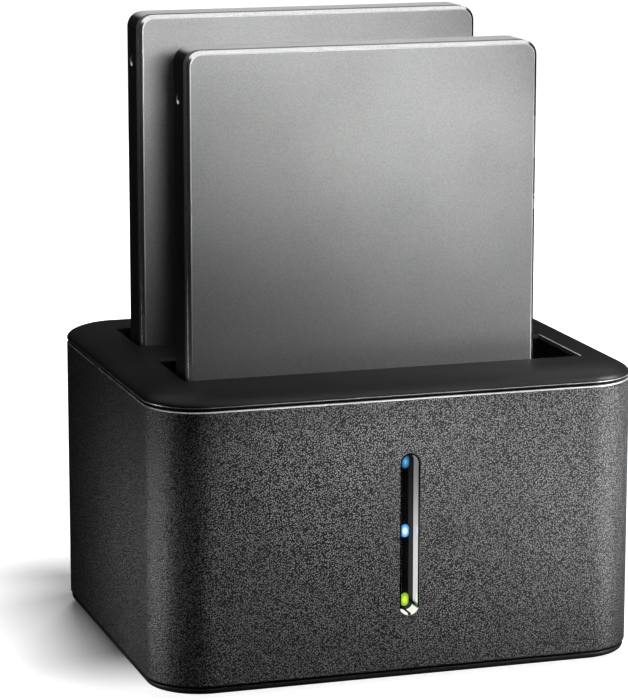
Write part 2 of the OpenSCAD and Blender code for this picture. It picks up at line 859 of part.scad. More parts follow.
// Pieces on the board: places from the middle of the strip between the sockets, and sizes
chip_place = [-12, -2];
chip_size = [10, 10, 1.2];
regulator_places = [[8, -8], [-23, -8]];
regulator_size = [6, 6, 1.2];
coil_places = [[16, -8], [-31, -8]];
coil_size = [7, 7, 4];
capacitor_places = [[10, 4], [17, 4], [24, -8], [31, -8]];
capacitor_r = 3;
capacitor_h = 6.5;
crystal_place = [-3, -9];
crystal_size = [5, 3.2, 1];

module on_board(place) {
    translate([place[0], board_mid + place[1], board_top]) children();
}

module bridge_chip() {
    color(inner_black) on_board(chip_place) block(chip_size[0], chip_size[1], chip_size[2]);
}

module power_regulators() {
    color(inner_black) for (place = regulator_places)
        on_board(place) block(regulator_size[0], regulator_size[1], regulator_size[2]);
}

module power_coils() {
    color([0.35, 0.35, 0.36]) for (place = coil_places)
        on_board(place) block(coil_size[0], coil_size[1], coil_size[2]);
}

module capacitors() {
    color(steel) for (place = capacitor_places)
        on_board(place) cylinder(h = capacitor_h, r = capacitor_r);
}

module clock_crystal() {
    color(steel) on_board(crystal_place) block(crystal_size[0], crystal_size[1], crystal_size[2]);
}

// Outline of the USB socket in X and Z, drawn in by a margin
function usb_outline(inset) = let (
    half = usb_w / 2 - inset,
    low = board_top + inset,
    high = board_top + usb_h - inset,
    corner = usb_cut - inset * (2 - sqrt(2))
) [
    [usb_x - half, low], [usb_x + half, low],
    [usb_x + half, high - corner], [usb_x + half - corner, high],
    [usb_x - half + corner, high], [usb_x - half, high - corner]
];

module usb_socket() {
    color(steel) difference() {
        along_y(panel_y - usb_l, panel_y) polygon(usb_outline(0));
        along_y(panel_y - usb_l + usb_wall, panel_y + cut) polygon(usb_outline(usb_wall));
    }
}

// Insulator inside the USB socket, with its two tongues
module usb_tongue() {
    root = panel_y - usb_l + usb_wall;
    tongue_l = panel_y - port_setback - root;
    color([0.1, 0.3, 0.8]) {
        along_y(root, root + usb_l / 3) polygon(usb_outline(usb_wall + bite_fit));
        translate([usb_x, root + tongue_l / 2, board_top]) {
            translate([0, 0, usb_tongue_z]) block(usb_tongue_w, tongue_l, usb_tongue_t);
            translate([0, 0, usb_bar_z]) block(usb_bar_w, tongue_l, usb_bar_t);
        }
    }
}

// Power inlet: moulded body on the board, with a collar in the panel
module power_inlet() {
    mid_z = board_top + inlet_h / 2;
    color(inner_black) difference() {
        union() {
            translate([inlet_x, wall_back - case_fit - inlet_l / 2, board_top])
                block(inlet_w, inlet_l, inlet_h);
            along_y(wall_back - case_fit - sink, panel_y)
                translate([inlet_x, mid_z]) circle(inlet_collar_r);
        }
        along_y(panel_y - inlet_depth, panel_y + cut) translate([inlet_x, mid_z]) circle(inlet_r);
    }
}

module power_inlet_pin() {
    color(steel) along_y(panel_y - inlet_depth, panel_y - port_setback)
        translate([inlet_x, board_top + inlet_h / 2]) circle(inlet_pin_r);
}

// Switch behind a button, with a bore for its plunger
module push_switch(x) {
    color(inner_black) difference() {
        translate([x, switch_back - switch_l / 2, board_top])
            block(switch_w, switch_l, button_z + switch_w / 2);
        along_y(collar_front - plunger_l - button_travel - plunger_room, switch_back + cut)
            translate([x, button_mid]) circle(plunger_r + plunger_fit);
    }
}

// Button cap in the panel, with the collar that keeps it in
module push_button(x, radius) {
    along_y(button_seat - sink, panel_y + button_out) translate([x, button_mid]) circle(radius);
    along_y(collar_front, button_seat) translate([x, button_mid]) circle(radius + button_collar);
}

module plunger(x) {
    color([0.85, 0.85, 0.82]) along_y(collar_front - plunger_l, collar_front)
        translate([x, button_mid]) circle(plunger_r);
}

module power_switch() {
    push_switch(power_x);
}

module clone_switch() {
    push_switch(clone_x);
}

module power_button() {
    color(bezel_grey) push_button(power_x, power_r);
}

module power_plunger() {
    plunger(power_x);
}

module clone_button() {
    color(bezel_grey) push_button(clone_x, clone_r);
}

module clone_plunger() {
    plunger(clone_x);
}

// Outline of a drive in X and Z, drawn in by a margin
module drive_outline(inset) {
    translate([drive_w / 2, drive_l / 2])
        round_rect(drive_w - 2 * inset, drive_l - 2 * inset, drive_r - inset);
}

module at_front_drive() {
    translate([drive_x, front_drive_y, front_seat]) children();
}

module at_rear_drive() {
    translate([drive_x, rear_drive_y, rear_seat]) children();
}

// Copies at both sides of a drive
module both_sides() {
    children();
    translate([drive_w, 0, 0]) mirror([1, 0, 0]) children();
}

// Drive case: tray with bosses around the threaded holes, posts for the board and a gap for the plug
module drive_case() {
    inside = drive_t - drive_back;
    hole_heights = [low_hole_z, high_hole_z];
    color(drive_dark) difference() {
        union() {
            difference() {
                along_y(cover_t, drive_t) drive_outline(0);
                along_y(cover_t - cut, inside) drive_outline(drive_wall);
            }
            both_sides() for (z = hole_heights)
                translate([drive_wall - sink, cover_t + hole_boss_gap, z - hole_boss_h / 2])
                    cube([hole_boss_d + sink, inside - cover_t - hole_boss_gap + sink, hole_boss_h]);
            for (post = drive_posts) along_y(drive_board_back, inside + sink)
                translate(post) circle(drive_post_r);
        }
        both_sides() for (z = hole_heights) {
            along_x(-cut, side_hole_l) translate([drive_t - side_hole_y, z]) circle(thread_r);
            along_y(drive_t - back_hole_l, drive_t + cut) translate([back_hole_x, z]) circle(thread_r);
        }
        translate([plug_x - plug_w / 2 - bite_fit, plug_y - plug_t / 2 - bite_fit, -cut])
            cube([plug_w + 2 * bite_fit, inside - plug_y + plug_t / 2 + bite_fit, drive_wall + 2 * cut]);
        for (post = drive_posts) along_y(drive_board_back - cut, inside)
            translate(post) circle(drive_screw_r + bite_fit);
    }
}

// Drive cover: front plate with a chamfered edge, hollow behind
module drive_cover() {
    color(drive_silver) difference() {
        translate([drive_w / 2, cover_t, drive_l / 2]) rotate([90, 0, 0])
            edged_slab(drive_w, drive_l, drive_r, cover_t)
                chamfered_section(drive_r, cover_t, 0, cover_chamfer);
        along_y(cover_skin, cover_t + cut) drive_outline(drive_wall);
    }
}

module drive_board() {
    color(board_green) along_y(drive_board_front, drive_board_back) difference() {
        translate([drive_board_x, plug_h]) square([drive_w - 2 * drive_board_x, drive_board_l]);
        for (post = drive_posts) translate(post) circle(drive_screw_r + bite_fit);
    }
}

module drive_board_screws() {
    length = drive_t - drive_back - drive_board_front - bite_fit;
    color(steel) for (post = drive_posts)
        translate([post[0], drive_board_front, post[1]]) rotate([-90, 0, 0])
            screw(length, drive_screw_r, drive_head_r, drive_head_h);
}

// Controller, memory and flash chips on the drive's board, by place and size
drive_chip_places = [[[27, 24], [14, 14]], [[47, 24], [9, 12]], [[27, 48], [12, 18]], [[44, 48], [12, 18]]];
module drive_chips() {
    color(inner_black) along_y(drive_board_front - drive_chip_t, drive_board_front)
        for (place = drive_chip_places) translate(place[0]) square(place[1], center = true);
}

// SATA plug: housing with a cavity at the drive's end and two tongues in it
module drive_plug() {
    color(inner_black) translate([plug_x, plug_y, 0]) {
        difference() {
            block(plug_w, plug_t, plug_h);
            translate([0, 0, -cut]) block(plug_w - 2 * plug_wall, plug_t - 2 * plug_wall, plug_depth + cut);
        }
        for (tongue = tongues) translate([tongue[0], 0, tongue_setback])
            block(tongue[1], tongue_t, plug_depth + sink - tongue_setback);
    }
}

module drive_contacts() {
    color(gold) translate([plug_x, plug_y - (tongue_t + contact_t) / 2, plug_depth - contact_l - sink])
        for (tongue = tongues)
            for (place = contact_places(tongue[2]))
                translate([tongue[0] + place, 0, 0]) block(contact_w, contact_t, contact_l);
}

module front_drive_case() {
    at_front_drive() drive_case();
}

module front_drive_cover() {
    at_front_drive() drive_cover();
}

module front_drive_board() {
    at_front_drive() drive_board();
}

module front_drive_board_screws() {
    at_front_drive() drive_board_screws();
}

module front_drive_chips() {
    at_front_drive() drive_chips();
}

module front_drive_plug() {
    at_front_drive() drive_plug();
}

module front_drive_contacts() {
    at_front_drive() drive_contacts();
}

module rear_drive_case() {
    at_rear_drive() drive_case();
}

module rear_drive_cover() {
    at_rear_drive() drive_cover();
}

module rear_drive_board() {
    at_rear_drive() drive_board();
}

module rear_drive_board_screws() {
    at_rear_drive() drive_board_screws();
}

module rear_drive_chips() {
    at_rear_drive() drive_chips();
}

module rear_drive_plug() {
    at_rear_drive() drive_plug();
}

module rear_drive_contacts() {
    at_rear_drive() drive_contacts();
}

base_tray();
rubber_feet();
base_screws();
main_shell();
top_bezel();
inner_frame();
bezel_screws();
front_bay_well();
rear_bay_well();
light_liner();
light_lens();
front_bay_light();
rear_bay_light();
power_light();
light_board();
light_emitters();
main_board();
board_screws();
front_socket();
front_socket_contacts();
rear_socket();
rear_socket_contacts();
rear_socket_riser();
bridge_chip();
power_regulators();
power_coils();
capacitors();
clock_crystal();
usb_socket();
usb_tongue();
power_inlet();
power_inlet_pin();
power_switch();
clone_switch();
power_button();
power_plunger();
clone_button();
clone_plunger();
front_drive_case();
front_drive_cover();
front_drive_board();
front_drive_board_screws();
front_drive_chips();
front_drive_plug();
front_drive_contacts();
rear_drive_case();
rear_drive_cover();
rear_drive_board();
rear_drive_board_screws();
rear_drive_chips();
rear_drive_plug();
rear_drive_contacts();
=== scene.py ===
from math import cos, pi, radians, sin, tau

import bmesh
import bpy
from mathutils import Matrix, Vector


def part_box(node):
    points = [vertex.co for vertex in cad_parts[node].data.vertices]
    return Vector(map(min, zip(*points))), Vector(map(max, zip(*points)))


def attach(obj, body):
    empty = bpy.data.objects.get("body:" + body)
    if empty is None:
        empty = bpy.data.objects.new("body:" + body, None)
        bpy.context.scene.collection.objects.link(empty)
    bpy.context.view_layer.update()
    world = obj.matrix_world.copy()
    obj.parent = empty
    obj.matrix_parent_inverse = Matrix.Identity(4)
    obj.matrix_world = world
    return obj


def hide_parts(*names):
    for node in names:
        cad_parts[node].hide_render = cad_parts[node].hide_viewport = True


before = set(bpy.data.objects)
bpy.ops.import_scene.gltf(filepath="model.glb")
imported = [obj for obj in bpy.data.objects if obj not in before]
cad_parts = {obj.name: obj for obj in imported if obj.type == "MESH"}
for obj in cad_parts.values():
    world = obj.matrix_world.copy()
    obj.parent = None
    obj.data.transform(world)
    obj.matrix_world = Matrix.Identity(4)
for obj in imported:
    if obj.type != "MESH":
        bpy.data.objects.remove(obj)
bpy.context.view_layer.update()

scene = bpy.context.scene
scene.view_settings.view_transform = "Standard"


# Camera: a long lens to the left of the dock and a little above it, tilted down, without roll or shift.
# The picture is 628 wide and 700 high, so the sensor is fitted to its height.
tilt_down, turn_right = 11.550, 17.503
camera = bpy.data.objects.new("camera", bpy.data.cameras.new("camera"))
camera.data.sensor_fit = "VERTICAL"
camera.data.sensor_height = 36
camera.data.lens = 164.513
camera.data.clip_start = 0.02
camera.location = (-0.194393, -0.598627, 0.185835)
camera.rotation_euler = (radians(90 - tilt_down), 0, radians(-turn_right))
scene.collection.objects.link(camera)
scene.camera = camera


# Studio: a pale floor under a white surround, and small lamps, most of them narrowed to the side they light.
# The floor's own glow makes it white, and is held back beside the dock, which paints a soft shadow there.
# Dark cards on the table and all around are seen in reflections alone, and give metal its contrast.
def tone(red, green=None, blue=None):
    """A colour for a socket: one level for a grey, three for a hue."""
    return (red, red, red, 1) if green is None else (red, green, blue, 1)


def put(tree, kind, wires=(), **settings):
    """One node in a tree, with its settings, and with values or wires on its sockets."""
    node = tree.nodes.new(kind)
    for label, value in settings.items():
        setattr(node, label, value)
    for socket, source in dict(wires).items():
        if isinstance(source, bpy.types.NodeSocket):
            tree.links.new(source, node.inputs[socket])
        else:
            node.inputs[socket].default_value = source
    return node


def calc(tree, operation, first, second=0.0):
    return put(tree, "ShaderNodeMath", {0: first, 1: second}, operation=operation).outputs[0]


def span(tree, value, low, high, to_low=0.0, to_high=1.0, course="SMOOTHSTEP"):
    return put(tree, "ShaderNodeMapRange", {0: value, 1: low, 2: high, 3: to_low, 4: to_high},
               interpolation_type=course).outputs[0]


def tint_between(tree, mask, first, second):
    return put(tree, "ShaderNodeMix", {0: mask, 6: first, 7: second}, data_type="RGBA").outputs[2]


def object_place(tree):
    return put(tree, "ShaderNodeTexCoord").outputs["Object"]


def seen_directly(tree):
    """One for rays from the camera and from gloss or glass, and nothing for soft light."""
    path = put(tree, "ShaderNodeLightPath")
    gloss = calc(tree, "MAXIMUM", path.outputs["Is Glossy Ray"], path.outputs["Is Transmission Ray"])
    return calc(tree, "MAXIMUM", path.outputs["Is Camera Ray"], gloss)


def sheet(name, corners, finish_name):
    """A flat sheet of the studio, with a material whose surface is still open."""
    mesh = bpy.data.meshes.new(name)
    mesh.from_pydata(corners, [], [(0, 1, 2, 3)])
    piece = bpy.data.objects.new(name, mesh)
    scene.collection.objects.link(piece)
    finish = bpy.data.materials.new(finish_name)
    finish.use_nodes = True
    tree = finish.node_tree
    tree.nodes.remove(tree.nodes["Principled BSDF"])
    mesh.materials.append(finish)
    return piece, tree, tree.nodes["Material Output"].inputs["Surface"]


def dark_card(name, corners, grey):
    """A card that only gloss and metal see, so that their edges stand out against the white."""
    card, tree, surface = sheet(name, corners, name)
    shade = put(tree, "ShaderNodeEmission", {"Color": tone(grey), "Strength": 1.0})
    tree.links.new(shade.outputs[0], surface)
    card.visible_camera = False
    card.visible_diffuse = False
    card.visible_shadow = False
    card.visible_transmission = False


def softbox(name, place, aim, width, height, watts, spread=180, gloss=True):
    """A lamp that is aimed at a point, with its spread in degrees, which the camera doesn't see."""
    lamp = bpy.data.lights.new(name, "AREA")
    lamp.shape = "RECTANGLE"
    lamp.size = width
    lamp.size_y = height
    lamp.energy = watts
    lamp.spread = radians(spread)
    box = bpy.data.objects.new(name, lamp)
    box.location = place
    box.rotation_euler = (Vector(aim) - Vector(place)).to_track_quat("-Z", "Y").to_euler()
    box.visible_camera = False
    box.visible_glossy = gloss
    scene.collection.objects.link(box)


def square(half):
    return [(-half, -half), (half, -half), (half, half), (-half, half)]


surround = bpy.data.worlds.new("white_surround")
surround.use_nodes = True
scene.world = surround
tree = surround.node_tree
backdrop = tree.nodes["Background"]
backdrop.inputs["Color"].default_value = tone(1)
soft_level = 0.028
lift = calc(tree, "MULTIPLY", seen_directly(tree), 1 - soft_level)
tree.links.new(calc(tree, "ADD", lift, soft_level), backdrop.inputs["Strength"])

floor_half, floor_bounce = 4, 0.08
shade_middle, shade_half = (-0.012, 0.024, 0), (0.033, 0.028, 0)
near_reach, near_lift = (0.001, 0.026), 0.92
far_reach, far_lift = (0.03, 0.30), 0.26
floor, tree, surface = sheet("floor", [(x, y, 0) for x, y in square(floor_half)], "white_paper")
place = object_place(tree)
fibre = put(tree, "ShaderNodeTexNoise", {"Vector": place, "Scale": 6.0, "Detail": 4.0})
paper = tint_between(tree, fibre.outputs["Fac"], tone(0.80), tone(0.84))
shown = seen_directly(tree)
matt = put(tree, "ShaderNodeBsdfDiffuse", {"Color": tint_between(tree, shown, tone(floor_bounce), paper)})
# Painted shadow: the floor's lift to white falls away inside a box set off to the dock's left and back, and
# this shows as a soft shadow.
outward = place
for operation, by in (("SUBTRACT", shade_middle), ("ABSOLUTE", (0, 0, 0)),
                      ("SUBTRACT", shade_half), ("MAXIMUM", (0, 0, 0))):
    outward = put(tree, "ShaderNodeVectorMath", {0: outward, 1: by}, operation=operation).outputs[0]
off_shade = put(tree, "ShaderNodeVectorMath", {0: outward}, operation="LENGTH").outputs["Value"]
beside = span(tree, off_shade, *near_reach, 0.0, near_lift, "LINEAR")
beyond = span(tree, off_shade, *far_reach, 0.0, far_lift, "LINEAR")
white_lift_and_painted_shadow = calc(tree, "MULTIPLY", shown, calc(tree, "ADD", beside, beyond))
glow = put(tree, "ShaderNodeEmission", {"Color": tone(1), "Strength": white_lift_and_painted_shadow})
both = put(tree, "ShaderNodeAddShader", {0: matt.outputs[0], 1: glow.outputs[0]})
tree.links.new(both.outputs[0], surface)

card_half, card_high, card_grey, card_lift = 0.9, 0.9, 0.01, 0.0004
corners = square(card_half)
dark_card("table_card", [(x, y, card_lift) for x, y in corners], card_grey)
for side, (near, far) in enumerate(zip(corners, corners[1:] + corners[:1])):
    upright = [(*near, 0), (*far, 0), (*far, card_high), (*near, card_high)]
    dark_card(f"side_card_{side + 1}", upright, card_grey)

# Lamps for the dock's front and its right corner
softbox("right_softbox", (0.12, -0.085, 0.112), (0.0, -0.041, 0.036), 0.04, 0.04, 0.035, 62)
softbox("corner_strip", (0.125, -0.113, 0.020), (0.042, -0.040, 0.03), 0.015, 0.03, 0.0082, 50)
softbox("front_strip", (-0.007, -0.054, 0.068), (-0.007, -0.0535, 0), 0.05, 0.004, 0.0116, 110)
# Lamps for the drives' faces
softbox("upper_softbox", (-0.10, -0.50, 0.20), (-0.03, -0.02, 0.16), 0.10, 0.06, 0.069, 20)
softbox("face_softbox", (0.04, -0.50, 0.20), (0.018, -0.0276, 0.103), 0.06, 0.015, 0.0094, 10)
# Lamps for the left side, and for the top and the back, which gloss doesn't see
softbox("left_strip", (-0.25, 0.010, 0.030), (-0.049, -0.036, 0.025), 0.03, 0.04, 0.0029, 22)
softbox("left_low_strip", (-0.25, 0.05, 0.020), (-0.049, -0.010, 0.020), 0.03, 0.04, 0.0019, 22)
softbox("top_softbox", (0.20, 0.06, 0.60), (0, 0, 0.06), 0.15, 0.15, 1.0, gloss=False)
softbox("back_softbox", (0.15, 0.60, 0.35), (0, 0.04, 0.04), 0.25, 0.25, 2.4, gloss=False)


# Base tray: the shallow lid under the dock, moulded in the casing's plastic, with a lip that shows as a
# thin line above the desk, bosses for the screws and recesses for the feet. It is screwed on from below.
def dress(node, name, ease, steps=2):
    """A copy of a solid with its flat faces joined, its edges eased and its curves smooth."""
    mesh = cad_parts[node].data.copy()
    mesh.name = name
    mesh.materials.clear()
    shape = bmesh.new()
    shape.from_mesh(mesh)
    bmesh.ops.remove_doubles(shape, verts=shape.verts, dist=2e-6)
    bmesh.ops.dissolve_limit(shape, angle_limit=radians(0.4), verts=shape.verts, edges=shape.edges)
    for face in shape.faces:
        face.smooth = True
        face.material_index = 0
    shape.to_mesh(mesh)
    shape.free()
    piece = bpy.data.objects.new(name, mesh)
    scene.collection.objects.link(piece)
    if ease:
        soften = piece.modifiers.new("eased_edges", "BEVEL")
        soften.width = ease
        soften.segments = steps
        soften.limit_method = "ANGLE"
        soften.angle_limit = radians(32)
        soften.use_clamp_overlap = True
    even = piece.modifiers.new("even_light", "WEIGHTED_NORMAL")
    even.weight = 100
    return piece


def fit(piece, finishes, body, slot, *nodes):
    """Gives a piece its finishes and sets it on its body in place of the plain solids."""
    for finish in finishes:
        piece.data.materials.append(finish)
    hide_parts(*nodes)
    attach(piece, body)


NUMBER = "NodeSocketFloat"
COLOUR = "NodeSocketColor"


def finish_group(name, sizes):
    """An empty shader group with named sizes in, and a finish's colour, roughness and height out."""
    group = bpy.data.node_groups.new(name, "ShaderNodeTree")
    for label, kind, value in sizes:
        group.interface.new_socket(label, in_out="INPUT", socket_type=kind).default_value = value
    for label, kind in (("Colour", COLOUR), ("Roughness", NUMBER), ("Height", NUMBER)):
        group.interface.new_socket(label, in_out="OUTPUT", socket_type=kind)
    return group, put(group, "NodeGroupInput").outputs, put(group, "NodeGroupOutput").inputs


def level_between(tree, mask, first, second):
    return put(tree, "ShaderNodeMix", {0: mask, 2: first, 3: second}, data_type="FLOAT").outputs[0]


def hand_out(group, made, mask, colours, gloss_mask, levels, height):
    """Wires a group's results: a colour and a roughness, each between two ends, and the height."""
    group.links.new(tint_between(group, mask, *colours), made["Colour"])
    group.links.new(level_between(group, gloss_mask, *levels), made["Roughness"])
    group.links.new(height, made["Height"])


moulded_grain, given, made = finish_group(
    "moulded_grain",
    [("Grain", NUMBER, 2000.0), ("Dark", COLOUR, tone(0)), ("Light", COLOUR, tone(0.05)),
     ("Glossiest", NUMBER, 0.4), ("Roughest", NUMBER, 0.55)])
broad_share, pit, peak = 0.08, 0.48, 0.76
place = object_place(moulded_grain)
turned = put(moulded_grain, "ShaderNodeMapping", {"Vector": place, "Rotation": (0.6, 0.45, 0.3)}).outputs[0]
cells = put(moulded_grain, "ShaderNodeTexVoronoi",
            {"Vector": turned, "Scale": given["Grain"], "Randomness": 0.85})
flow = put(moulded_grain, "ShaderNodeTexNoise", {"Vector": place, "Scale": 38.0, "Detail": 3.0})
height = calc(moulded_grain, "SUBTRACT", 1.0, cells.outputs["Distance"])
peaks = span(moulded_grain, height, pit, peak)
broad = span(moulded_grain, flow.outputs["Fac"], 0.3, 0.7, 0.35, 0.65)
hand_out(moulded_grain, made, level_between(moulded_grain, broad_share, peaks, broad),
         (given["Dark"], given["Light"]), broad, (given["Glossiest"], given["Roughest"]), height)


def blank_finish(name, **sockets):
    """A material with one shader, and its plain values on the shader's own sockets."""
    finish = bpy.data.materials.new(name)
    finish.use_nodes = True
    shader = finish.node_tree.nodes["Principled BSDF"]
    for socket, value in sockets.items():
        shader.inputs[socket.replace("_", " ")].default_value = value
    return finish, finish.node_tree, shader


def coated(name, group, sizes, relief, **sockets):
    """A material with its colour, roughness and relief in metres from a finish group."""
    finish, tree, shader = blank_finish(name, **sockets)
    skin = put(tree, "ShaderNodeGroup", node_tree=group)
    for label, value in sizes.items():
        skin.inputs[label].default_value = value
    bump = put(tree, "ShaderNodeBump",
               {"Strength": 1.0, "Distance": relief, "Height": skin.outputs["Height"]})
    tree.links.new(skin.outputs["Colour"], shader.inputs["Base Color"])
    tree.links.new(skin.outputs["Roughness"], shader.inputs["Roughness"])
    tree.links.new(bump.outputs["Normal"], shader.inputs["Normal"])
    return finish


def moulded(name, grain, dark, light, glossiest, roughest, relief, **sockets):
    """Moulded plastic or rubber: a grain of a given fineness, two tones and a relief in metres."""
    return coated(name, moulded_grain, {"Grain": grain, "Dark": dark, "Light": light, "Glossiest": glossiest,
                                        "Roughest": roughest}, relief, **sockets)


tray_plastic = moulded("smooth_tray", 3000, tone(0.024), tone(0.040), 0.38, 0.46, 0.000008)
fit(dress("base_tray", "smooth_base_tray", 0.0002, 3), [tray_plastic], "dock", "casing", "base_tray")


# Rubber feet: four soft discs, stuck in the tray's recesses, with grip rings pressed into the face that
# meets the desk. They are lathed once and set in place as copies.
def lathe(name, profile, turns=48):
    """A closed mesh from a profile of (radius, height) points, turned about the Z axis."""
    shape = bmesh.new()
    rings = []
    for radius, high in profile:
        if radius == 0:
            rings.append([shape.verts.new((0, 0, high))])
        else:
            angles = [tau * k / turns for k in range(turns)]
            rings.append([shape.verts.new((radius * cos(turn), radius * sin(turn), high)) for turn in angles])
    for low, high in zip(rings, rings[1:]):
        for k in range(turns):
            n = (k + 1) % turns
            around = [low[k % len(low)], low[n % len(low)], high[n % len(high)], high[k % len(high)]]
            unique = list(dict.fromkeys(around))
            if len(unique) > 2:
                shape.faces.new(unique)
    bmesh.ops.remove_doubles(shape, verts=shape.verts, dist=1e-7)
    bmesh.ops.recalc_face_normals(shape, faces=shape.faces)
    for face in shape.faces:
        face.smooth = True
    mesh = bpy.data.meshes.new(name)
    shape.to_mesh(mesh)
    shape.free()
    mesh.set_sharp_from_angle(angle=radians(40))
    return mesh


def copies_tree():
    """Sets a copy of one piece on every point, leaning as the point says."""
    tree = bpy.data.node_groups.new("set_copies", "GeometryNodeTree")
    for label, kind in (("Geometry", "NodeSocketGeometry"), ("Piece", "NodeSocketObject"),
                        ("Finish", "NodeSocketMaterial")):
        tree.interface.new_socket(label, in_out="INPUT", socket_type=kind)
    tree.interface.new_socket("Geometry", in_out="OUTPUT", socket_type="NodeSocketGeometry")
    given = put(tree, "NodeGroupInput").outputs
    made = put(tree, "NodeGroupOutput").inputs
    lean = put(tree, "GeometryNodeInputNamedAttribute", {"Name": "lean"}, data_type="FLOAT_VECTOR")
    source = put(tree, "GeometryNodeObjectInfo", {"Object": given["Piece"]})
    turn = put(tree, "FunctionNodeEulerToRotation", {0: lean.outputs[0]})
    spread = put(tree, "GeometryNodeInstanceOnPoints",
                 {"Points": given["Geometry"], "Instance": source.outputs["Geometry"],
                  "Rotation": turn.outputs[0]})
    solid = put(tree, "GeometryNodeRealizeInstances", {"Geometry": spread.outputs[0]})
    coat = put(tree, "GeometryNodeSetMaterial", {"Geometry": solid.outputs[0], "Material": given["Finish"]})
    tree.links.new(coat.outputs[0], made[0])
    return tree


set_copies = copies_tree()


def run_tree(holder, tree, **values):
    """Runs a geometry tree on an object and leaves its plain result as the object's mesh."""
    step = holder.modifiers.new("made", "NODES")
    step.node_group = tree
    for item in tree.interface.items_tree:
        if item.in_out == "INPUT" and item.name in values:
            step[item.identifier] = values[item.name]
    bpy.context.view_layer.update()
    ready = holder.evaluated_get(bpy.context.evaluated_depsgraph_get())
    plain = bpy.data.meshes.new_from_object(ready)
    holder.modifiers.remove(step)
    holder.data = plain


def set_pieces(name, mesh, places, finish):
    """Copies of a mesh at a list of (place, lean) pairs, as one piece."""
    source = bpy.data.objects.new(name + "_pattern", mesh)
    scene.collection.objects.link(source)
    points = bpy.data.meshes.new(name)
    points.from_pydata([spot for spot, lean in places], [], [])
    leans = points.attributes.new("lean", "FLOAT_VECTOR", "POINT")
    for item, (spot, lean) in zip(leans.data, places):
        item.vector = lean
    holder = bpy.data.objects.new(name, points)
    scene.collection.objects.link(holder)
    run_tree(holder, set_copies, Piece=source, Finish=finish)
    bpy.data.objects.remove(source)
    return holder


UPRIGHT = (0, 0, 0)
foot_low, foot_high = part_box("rubber_feet")
foot_r, groove = 0.005, 0.0003
foot_h = foot_high.z - foot_low.z
foot_mesh = lathe("foot", [
    (0, groove / 2), (0.0011, groove / 2), (0.0013, 0), (0.0019, 0), (0.0021, groove), (0.0026, groove),
    (0.0028, 0), (0.0034, 0), (0.0036, groove), (0.0041, groove), (0.0043, 0), (0.0047, 0), (foot_r, groove),
    (foot_r, foot_h), (0, foot_h)])
soft_rubber = moulded("soft_rubber", 900, tone(0.010), tone(0.028, 0.027, 0.026), 0.75, 0.9, 0.00004)
foot_x = foot_high.x - foot_r
foot_y = foot_high.y - foot_r
foot_places = [((x, y, foot_low.z), UPRIGHT) for x in (-foot_x, foot_x) for y in (-foot_y, foot_y)]
feet = set_pieces("ringed_feet", foot_mesh, foot_places, soft_rubber)
fit(feet, [], "dock", "foot_rubber", "rubber_feet")


# Screws: zinc-plated pan heads with a cross recess, three up through the tray into the frame's posts, two
# through the frame into the bezel and four that hold the main board. All are one screw at three lengths.
worn_metal, given, made = finish_group(
    "worn_metal",
    [("Grain", NUMBER, 4000.0), ("Dark", COLOUR, tone(0.3)), ("Light", COLOUR, tone(0.6)),
     ("Glossiest", NUMBER, 0.2), ("Roughest", NUMBER, 0.4), ("Stretch", "NodeSocketVector", (1, 1, 1))])
haze_share = 0.25
place = object_place(worn_metal)
drawn = put(worn_metal, "ShaderNodeVectorMath", {0: place, 1: given["Stretch"]}, operation="MULTIPLY")
specks = put(worn_metal, "ShaderNodeTexNoise",
             {"Vector": drawn.outputs[0], "Scale": given["Grain"], "Detail": 2.0, "Roughness": 0.7})
clouds = put(worn_metal, "ShaderNodeTexNoise", {"Vector": place, "Scale": 60.0, "Detail": 4.0})
fine = span(worn_metal, specks.outputs["Fac"], 0.3, 0.7)
haze = span(worn_metal, clouds.outputs["Fac"], 0.3, 0.7)
hand_out(worn_metal, made, level_between(worn_metal, haze_share, fine, haze), (given["Dark"], given["Light"]),
         haze, (given["Glossiest"], given["Roughest"]), specks.outputs["Fac"])


def metal(name, grain, dark, light, glossiest, roughest, relief, stretch=(1, 1, 1), **sockets):
    """Bare or plated metal: fine specks or drawn lines, a faint haze and a relief in metres."""
    return coated(name, worn_metal, {"Grain": grain, "Dark": dark, "Light": light, "Glossiest": glossiest,
                                     "Roughest": roughest, "Stretch": stretch}, relief,
                  **{"Metallic": 1.0, **sockets})


def cross_punch(arm, wing, low_z, high_z):
    """A tapered cross, as the two bars that a cross recess is cut with."""
    shape = bmesh.new()
    around = ((-1, -1), (1, -1), (1, 1), (-1, 1))
    for wide, deep in ((arm, wing), (wing, arm)):
        low = [shape.verts.new((x * wide, y * deep, low_z)) for x, y in around]
        high = [shape.verts.new((x * wide * 0.6, y * deep * 0.7, high_z)) for x, y in around]
        shape.faces.new(low[::-1])
        shape.faces.new(high)
        for k in range(4):
            shape.faces.new((low[k], low[(k + 1) % 4], high[(k + 1) % 4], high[k]))
    mesh = bpy.data.meshes.new("cross_punch")
    shape.to_mesh(mesh)
    shape.free()
    punch = bpy.data.objects.new("cross_punch", mesh)
    scene.collection.objects.link(punch)
    return punch


head_r, head_h, shank_r = 0.0021, 0.0014, 0.001


